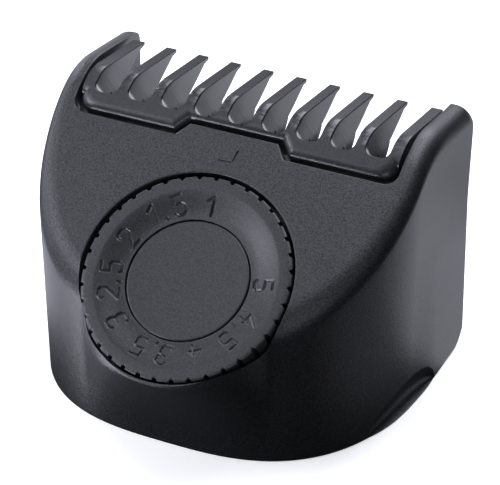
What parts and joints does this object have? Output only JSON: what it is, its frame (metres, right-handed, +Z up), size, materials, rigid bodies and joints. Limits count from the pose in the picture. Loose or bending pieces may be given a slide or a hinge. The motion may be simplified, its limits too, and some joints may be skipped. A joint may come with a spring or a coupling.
{
  "type": "adjustable trimmer comb attachment",
  "caption": "Adjustable beard comb attachment: a slanted hood with a numbered wheel that slides a toothed comb out along its face.",
  "frame": {"origin": "middle of the bounding box's footprint, on the plane of the rim that the part stands on", "axes": "+X to the wearer's right across the comb, +Y from the numbered wheel towards the teeth's tips, +Z up from the rim"},
  "size_m": [0.0434, 0.0381, 0.0317],
  "materials": {
    "housing_plastic": "spark-eroded grain, charcoal",
    "dial_plastic": "fine satin, charcoal",
    "comb_plastic": "smooth satin, charcoal",
    "chassis_plastic": "moulded, black",
    "bearing_plastic": "natural acetal",
    "spring_steel": "rolled",
    "screw_steel": "zinc plated"
  },
  "bodies": {
    "housing": {"housing_shell": "housing_plastic", "chassis_plate": "chassis_plastic", "chassis_screw_1": "screw_steel", "chassis_screw_2": "screw_steel", "chassis_screw_3": "screw_steel", "chassis_screw_4": "screw_steel", "dial_bush": "bearing_plastic", "detent_spring": "spring_steel", "detent_rivet": "screw_steel", "latch_clip_left": "bearing_plastic", "latch_clip_right": "bearing_plastic"},
    "dial": {"dial_ring": "dial_plastic", "dial_cap": "dial_plastic", "wave_washer": "spring_steel", "detent_wheel": "bearing_plastic", "dial_screw": "screw_steel"},
    "comb": {"comb": "comb_plastic", "comb_slider": "bearing_plastic", "follower_pin": "screw_steel", "comb_screw_left": "screw_steel", "comb_screw_right": "screw_steel"}
  },
  "joints": [
    {"name": "dial_turn", "type": "hinge", "parent": "housing", "child": "dial", "pos_m": [0.0007, -0.0096, 0.0191], "axis": [0, 0.6157, -0.788], "range_deg": [0, 280]},
    {"name": "comb_slide", "type": "slide", "parent": "housing", "child": "comb", "axis": [0, 0.788, 0.6157], "range_m": [0, 0.004]}
  ],
  "couplings": [
    {"joint": "comb_slide", "follows": "dial_turn", "m_per_rad": 0.00081851}
  ]
}
